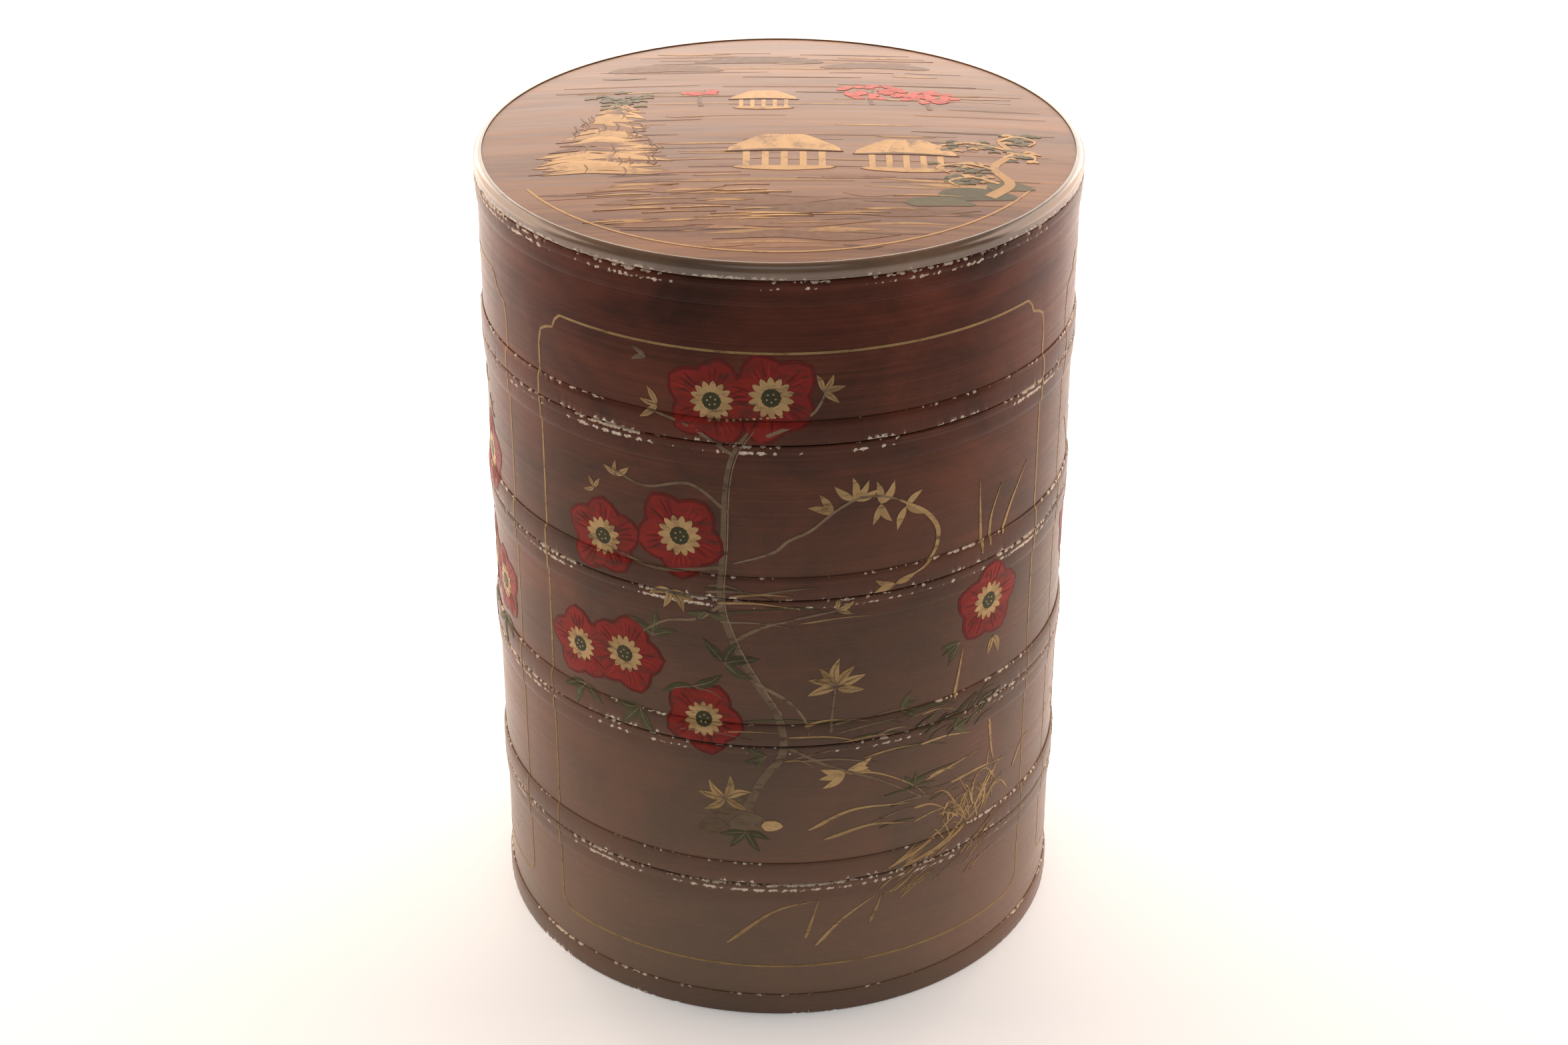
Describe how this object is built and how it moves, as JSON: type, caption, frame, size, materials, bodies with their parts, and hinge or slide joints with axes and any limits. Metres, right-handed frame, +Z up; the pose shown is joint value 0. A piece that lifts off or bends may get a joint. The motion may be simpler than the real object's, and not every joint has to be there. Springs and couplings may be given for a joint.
{
  "type": "round stacking lacquer box",
  "caption": "Round stacking box of equal shallow trays under a low domed lid, lacquered wood, each tray centred by a lip on the one below.",
  "frame": {"origin": "centre of the base, at the bottom edge of the bottom tray", "axes": "+Z up along the stack's axis; -Y towards the front panel of the painted wall"},
  "size_m": [0.23, 0.23, 0.3288],
  "materials": {
    "wall_lacquer": "transparent red-brown lacquer over black on bent wood, glossy, with painted sprays and worn edges",
    "band_lacquer": "dark lacquer on thin wooden hoops, edges rubbed through in light dots",
    "lip_lacquer": "black lacquer, satin, rubbed by lifting the trays",
    "inside_lacquer": "plain red lacquer, satin",
    "rim_lacquer": "dark lacquer on a rounded shoulder, worn through in light dots along its edge",
    "lid_lacquer": "brown lacquer ground with a gold and red painted landscape, glossy and aged"
  },
  "bodies": {
    "bottom_tray": {"bottom_tray_wall": "wall_lacquer", "bottom_tray_floor": "inside_lacquer", "bottom_tray_lip": "lip_lacquer", "bottom_tray_top_band": "band_lacquer", "bottom_tray_foot_band": "band_lacquer"},
    "second_tray": {"second_tray_wall": "wall_lacquer", "second_tray_floor": "inside_lacquer", "second_tray_lip": "lip_lacquer", "second_tray_top_band": "band_lacquer", "second_tray_foot_band": "band_lacquer"},
    "third_tray": {"third_tray_wall": "wall_lacquer", "third_tray_floor": "inside_lacquer", "third_tray_lip": "lip_lacquer", "third_tray_top_band": "band_lacquer", "third_tray_foot_band": "band_lacquer"},
    "fourth_tray": {"fourth_tray_wall": "wall_lacquer", "fourth_tray_floor": "inside_lacquer", "fourth_tray_lip": "lip_lacquer", "fourth_tray_top_band": "band_lacquer", "fourth_tray_foot_band": "band_lacquer"},
    "top_tray": {"top_tray_wall": "wall_lacquer", "top_tray_floor": "inside_lacquer", "top_tray_lip": "lip_lacquer", "top_tray_top_band": "band_lacquer", "top_tray_foot_band": "band_lacquer"},
    "lid": {"lid_rim": "rim_lacquer", "lid_board": "lid_lacquer"}
  },
  "joints": [
    {"name": "second_tray_lift", "type": "slide", "parent": "bottom_tray", "child": "second_tray", "axis": [0, 0, 1], "range_m": [0, 0.12]},
    {"name": "third_tray_lift", "type": "slide", "parent": "second_tray", "child": "third_tray", "axis": [0, 0, 1], "range_m": [0, 0.12]},
    {"name": "fourth_tray_lift", "type": "slide", "parent": "third_tray", "child": "fourth_tray", "axis": [0, 0, 1], "range_m": [0, 0.12]},
    {"name": "top_tray_lift", "type": "slide", "parent": "fourth_tray", "child": "top_tray", "axis": [0, 0, 1], "range_m": [0, 0.12]},
    {"name": "lid_lift", "type": "slide", "parent": "top_tray", "child": "lid", "axis": [0, 0, 1], "range_m": [0, 0.12]}
  ]
}
